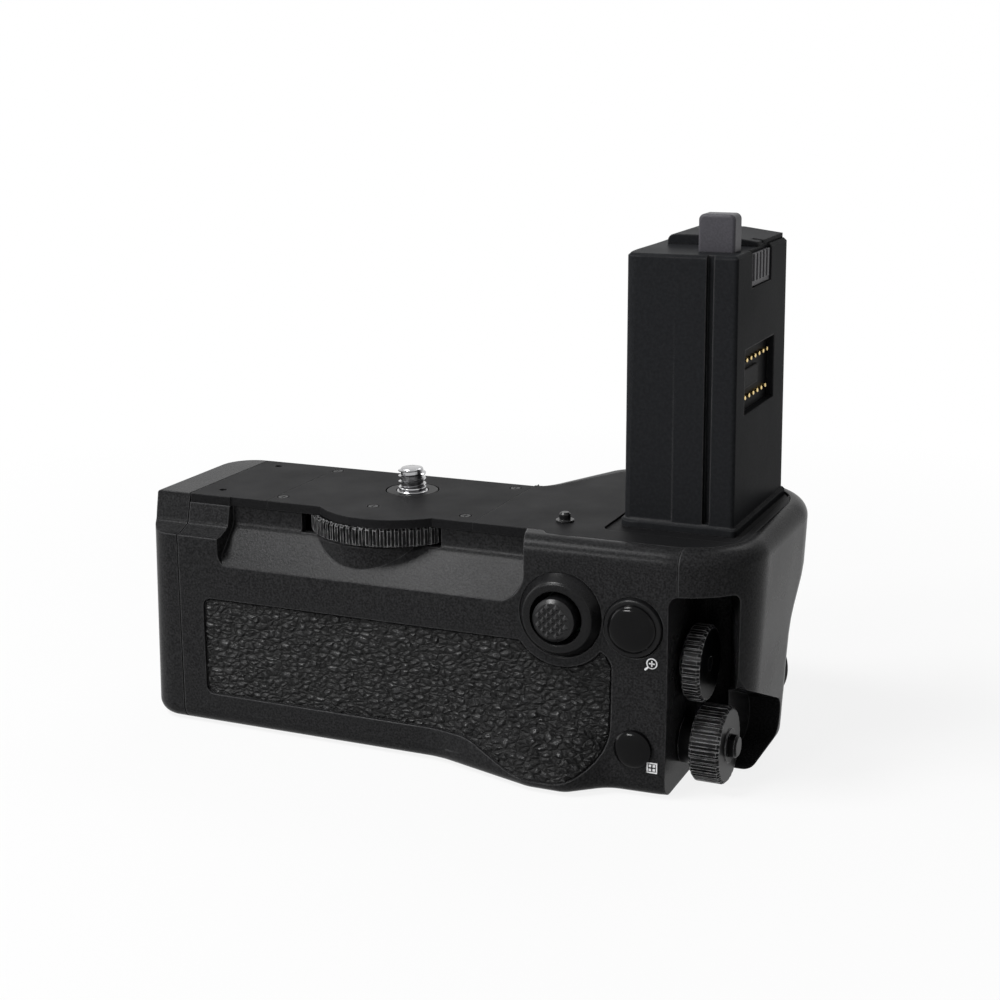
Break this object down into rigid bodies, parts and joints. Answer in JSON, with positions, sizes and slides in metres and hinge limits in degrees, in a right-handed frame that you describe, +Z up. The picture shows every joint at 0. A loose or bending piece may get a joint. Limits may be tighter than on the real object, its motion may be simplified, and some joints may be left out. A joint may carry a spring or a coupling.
{
  "type": "camera battery grip",
  "caption": "Battery grip that screws under a camera, with a tower for the camera's battery well, a thumb stick, command dials and a sliding tray for batteries.",
  "frame": {"origin": "axis of the camera fixing screw, in the plane of the top plate", "axes": "+X toward the tower and the dials, +Y to the front of the camera, +Z up along the fixing screw"},
  "size_m": [0.1411, 0.075, 0.1158],
  "materials": {
    "body": "fine textured",
    "plate": "satin",
    "tower": "satin",
    "inner": "matte",
    "battery": "satin",
    "tab": "satin",
    "dial": "satin",
    "collar": "satin",
    "gloss": "gloss",
    "rubber": "matte",
    "skin": "pebbled",
    "chrome": "polished",
    "washer": "satin",
    "screw": "black oxide",
    "pin": "satin",
    "gold": "polished",
    "board": "lacquered"
  },
  "bodies": {
    "housing": {"rear_cover": "body", "front_cover": "body", "end_cover": "body", "bottom_plate": "plate", "bottom_screws": "screw", "top_plate_left": "plate", "top_plate_center": "plate", "top_plate_right": "plate", "top_screws": "screw", "locating_pin": "pin", "screw_washer": "washer", "dial_hub": "inner", "dial_base": "inner", "tower_shell": "tower", "tower_cap": "tower", "tower_tab": "tab", "tower_latch": "tab", "tower_contact_block": "inner", "tower_contacts": "gold", "tower_board": "board", "stick_collar": "collar", "focus_collar": "collar", "button_board": "board", "switches": "washer", "dial_encoders": "inner", "dial_board": "board", "bay_contacts": "gold", "shutter_collar": "collar", "front_boards": "board", "main_board": "board", "tripod_socket": "washer", "front_dial_axle": "washer", "rear_skin": "skin", "front_skin": "skin"},
    "attachment_dial": {"attachment_dial": "dial"},
    "fixing_screw": {"fixing_screw": "chrome"},
    "stick_base": {"stick_carrier": "inner"},
    "stick_ring": {"stick_gimbal": "inner"},
    "stick_head": {"stick_stem": "pin", "stick_cap": "rubber"},
    "focus_button": {"focus_button": "gloss"},
    "hold_button": {"hold_button": "gloss"},
    "custom_button": {"custom_button": "gloss"},
    "shutter_button": {"shutter_button": "chrome"},
    "upper_dial": {"upper_dial": "dial", "upper_dial_shaft": "washer"},
    "lower_dial": {"lower_dial": "dial", "lower_dial_shaft": "washer"},
    "dial_lock": {"dial_lock": "dial"},
    "front_dial": {"front_dial": "dial"},
    "power_lever": {"power_lever": "dial"},
    "battery_drawer": {"battery_door": "body", "battery_tray": "inner", "batteries": "battery", "tray_contact_blocks": "inner", "tray_contacts": "gold"},
    "battery_latch": {"latch_slider": "dial", "latch_bolt": "washer"}
  },
  "joints": [
    {"name": "attachment_dial_turn", "type": "hinge", "parent": "housing", "child": "attachment_dial", "pos_m": [0, -0.0074, -0.004], "axis": [0, 0, 1], "continuous": true},
    {"name": "fixing_screw_turn", "type": "hinge", "parent": "housing", "child": "fixing_screw", "pos_m": [0, 0, 0], "axis": [0, 0, 1], "continuous": true},
    {"name": "stick_press", "type": "slide", "parent": "housing", "child": "stick_base", "axis": [0, 1, 0], "range_m": [0, 0.0004], "stiffness_N_per_m": 900, "springref_m": -0.0002},
    {"name": "stick_tilt_up", "type": "hinge", "parent": "stick_base", "child": "stick_ring", "pos_m": [0.0467, -0.02403, -0.0156], "axis": [1, 0, 0], "range_deg": [-6, 6], "stiffness_Nm_per_rad": 0.02},
    {"name": "stick_tilt_side", "type": "hinge", "parent": "stick_ring", "child": "stick_head", "pos_m": [0.0467, -0.02403, -0.0156], "axis": [0, 0, 1], "range_deg": [-6, 6], "stiffness_Nm_per_rad": 0.02},
    {"name": "focus_button_press", "type": "slide", "parent": "housing", "child": "focus_button", "axis": [0, 1, 0], "range_m": [0, 0.0004], "stiffness_N_per_m": 800, "springref_m": -0.0002},
    {"name": "hold_button_press", "type": "slide", "parent": "housing", "child": "hold_button", "axis": [0, 1, 0], "range_m": [0, 0.0004], "stiffness_N_per_m": 800, "springref_m": -0.0002},
    {"name": "custom_button_press", "type": "slide", "parent": "housing", "child": "custom_button", "axis": [0, -1, 0], "range_m": [0, 0.0004], "stiffness_N_per_m": 800, "springref_m": -0.0002},
    {"name": "shutter_button_press", "type": "slide", "parent": "housing", "child": "shutter_button", "axis": [-0.342, -0.9397, 0], "range_m": [0, 0.0005], "stiffness_N_per_m": 700, "springref_m": -0.0002},
    {"name": "upper_dial_turn", "type": "hinge", "parent": "housing", "child": "upper_dial", "pos_m": [0.0732, -0.016, -0.026], "axis": [1, 0, 0], "continuous": true},
    {"name": "lower_dial_turn", "type": "hinge", "parent": "housing", "child": "lower_dial", "pos_m": [0.0764, -0.016, -0.0432], "axis": [1, 0, 0], "continuous": true},
    {"name": "dial_lock_press", "type": "slide", "parent": "lower_dial", "child": "dial_lock", "axis": [-1, 0, 0], "range_m": [0, 0.0008], "stiffness_N_per_m": 500, "springref_m": -0.0002},
    {"name": "front_dial_turn", "type": "hinge", "parent": "housing", "child": "front_dial", "pos_m": [0.05, 0.0148, -0.04], "axis": [1, 0, 0], "continuous": true},
    {"name": "power_lever_turn", "type": "hinge", "parent": "housing", "child": "power_lever", "pos_m": [0.0695, 0.016, -0.0395], "axis": [0.342, 0.9397, 0], "range_deg": [0, 30]},
    {"name": "tray_slide", "type": "slide", "parent": "housing", "child": "battery_drawer", "axis": [-1, 0, 0], "range_m": [0, 0.1]},
    {"name": "latch_slide", "type": "slide", "parent": "battery_drawer", "child": "battery_latch", "axis": [0, 0, 1], "range_m": [0, 0.0014]}
  ],
  "couplings": [
    {"joint": "fixing_screw_turn", "follows": "attachment_dial_turn", "ratio": 2.6667}
  ]
}
